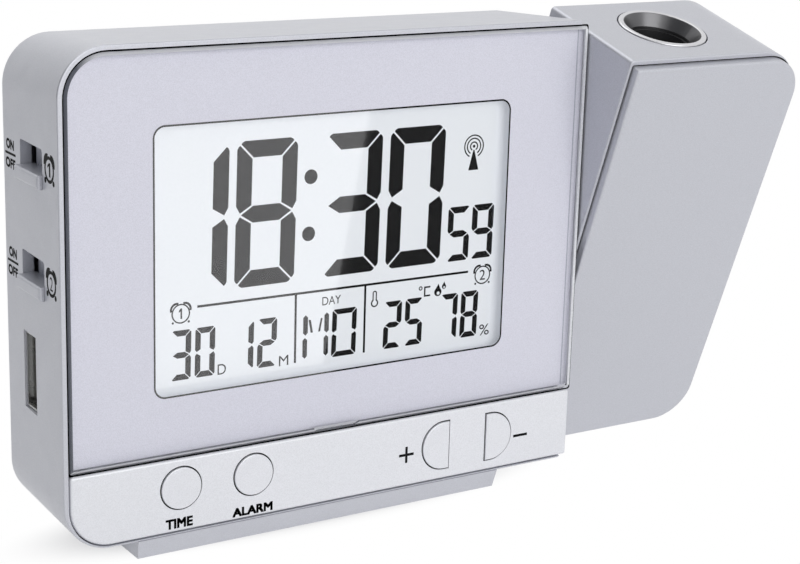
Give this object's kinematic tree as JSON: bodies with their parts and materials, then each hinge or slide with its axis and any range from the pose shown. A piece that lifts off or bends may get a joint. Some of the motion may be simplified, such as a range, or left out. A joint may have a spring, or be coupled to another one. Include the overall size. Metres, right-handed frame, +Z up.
{
  "type": "projection alarm clock",
  "caption": "Upright silver projection alarm clock with a backlit display and a swivelling projector arm at its right.",
  "frame": {"origin": "centre of the foot's underside, on the table", "axes": "+Z up, +X to the user's right, -Y towards the user"},
  "size_m": [0.1455, 0.0529, 0.0889],
  "materials": {
    "silver_paint": "satin silver paint",
    "bar_paint": "satin light silver paint",
    "clear_lens": "clear moulded acrylic",
    "silver_print": "silver print on the back of the lens",
    "lcd": "display glass",
    "backlight": "milky light guide",
    "white_plastic": "white moulding",
    "black_plastic": "black moulding",
    "board": "green solder mask",
    "steel": "plated steel",
    "rubber": "anti-slip rubber",
    "zebra": "striped silicone",
    "cell": "plain battery jacket",
    "copper": "copper wire",
    "ferrite": "ferrite",
    "ring_metal": "satin metal ring",
    "optic_plastic": "clear lens",
    "lead": "soft lead jacket"
  },
  "bodies": {
    "case": {"front_housing": "silver_paint", "rear_cover": "silver_paint", "base_foot": "silver_paint", "foot_pad": "rubber", "foot_screws": "steel", "case_screws": "steel", "button_bar": "bar_paint", "lcd_glass": "lcd", "display_frame": "white_plastic", "zebra_strip": "zebra", "backlight_panel": "backlight", "main_board": "board", "microcontroller": "black_plastic", "tact_switches": "black_plastic", "board_screws": "steel", "climate_sensor": "white_plastic", "antenna_rod": "ferrite", "antenna_coil": "copper", "speaker": "black_plastic", "power_inlet": "black_plastic", "batteries": "cell", "battery_contacts": "steel", "alarm_switches": "black_plastic", "side_board": "board", "usb_socket": "steel", "usb_tongue": "white_plastic", "friction_washer": "steel", "projector_lead": "lead", "case_lead_socket": "white_plastic"},
    "battery_hatch": {"battery_door": "silver_paint"},
    "lens_plate": {"display_lens": "clear_lens", "lens_print": "silver_print"},
    "time_key": {"time_button": "bar_paint"},
    "alarm_key": {"alarm_button": "bar_paint"},
    "plus_key": {"plus_button": "bar_paint"},
    "minus_key": {"minus_button": "bar_paint"},
    "alarm_1_knob": {"alarm_1_slider": "silver_paint"},
    "alarm_2_knob": {"alarm_2_slider": "silver_paint"},
    "arm": {"arm_housing": "silver_paint", "arm_front_cover": "silver_paint", "arm_screws": "steel", "arm_board": "board", "arm_board_screws": "steel", "arm_lead_socket": "white_plastic", "swivel_shaft": "black_plastic", "swivel_clip": "steel", "optics_tube": "black_plastic", "optics_screws": "steel", "lamp_housing": "black_plastic", "projector_lcd": "lcd", "condenser_lens": "optic_plastic", "lamp_board": "board", "projector_lamp": "optic_plastic"},
    "focus_wheel": {"focus_ring": "ring_metal"},
    "focus_barrel": {"lens_barrel": "black_plastic", "projection_lens": "optic_plastic"}
  },
  "joints": [
    {"name": "projector_swivel", "type": "hinge", "parent": "case", "child": "arm", "pos_m": [0.0532, -0.0015, 0.0459], "axis": [1, 0, 0], "range_deg": [-109.5, 70.5]},
    {"name": "focus_turn", "type": "hinge", "parent": "arm", "child": "focus_wheel", "pos_m": [0.0701, -0.01378, 0.08552], "axis": [0, -0.2738, 0.9618], "range_deg": [-60, 60]},
    {"name": "focus_slide", "type": "slide", "parent": "arm", "child": "focus_barrel", "axis": [0, -0.2738, 0.9618], "range_m": [-0.001, 0.001]},
    {"name": "snooze_press", "type": "slide", "parent": "case", "child": "lens_plate", "axis": [0, 1, 0], "range_m": [0, 0.0005], "stiffness_N_per_m": 2500, "springref_m": -0.0002},
    {"name": "time_press", "type": "slide", "parent": "case", "child": "time_key", "axis": [0, 1, 0], "range_m": [0, 0.0004], "stiffness_N_per_m": 1500, "springref_m": -0.0002},
    {"name": "alarm_press", "type": "slide", "parent": "case", "child": "alarm_key", "axis": [0, 1, 0], "range_m": [0, 0.0004], "stiffness_N_per_m": 1500, "springref_m": -0.0002},
    {"name": "plus_press", "type": "slide", "parent": "case", "child": "plus_key", "axis": [0, 1, 0], "range_m": [0, 0.0004], "stiffness_N_per_m": 1500, "springref_m": -0.0002},
    {"name": "minus_press", "type": "slide", "parent": "case", "child": "minus_key", "axis": [0, 1, 0], "range_m": [0, 0.0004], "stiffness_N_per_m": 1500, "springref_m": -0.0002},
    {"name": "alarm_1_slide", "type": "slide", "parent": "case", "child": "alarm_1_knob", "axis": [0, 0, 1], "range_m": [0, 0.004]},
    {"name": "alarm_2_slide", "type": "slide", "parent": "case", "child": "alarm_2_knob", "axis": [0, 0, 1], "range_m": [0, 0.004]},
    {"name": "battery_door_pull", "type": "slide", "parent": "case", "child": "battery_hatch", "axis": [0, 1, 0], "range_m": [0, 0.012]}
  ],
  "couplings": [
    {"joint": "focus_turn", "follows": "focus_slide", "rad_per_m": 1047.2}
  ]
}
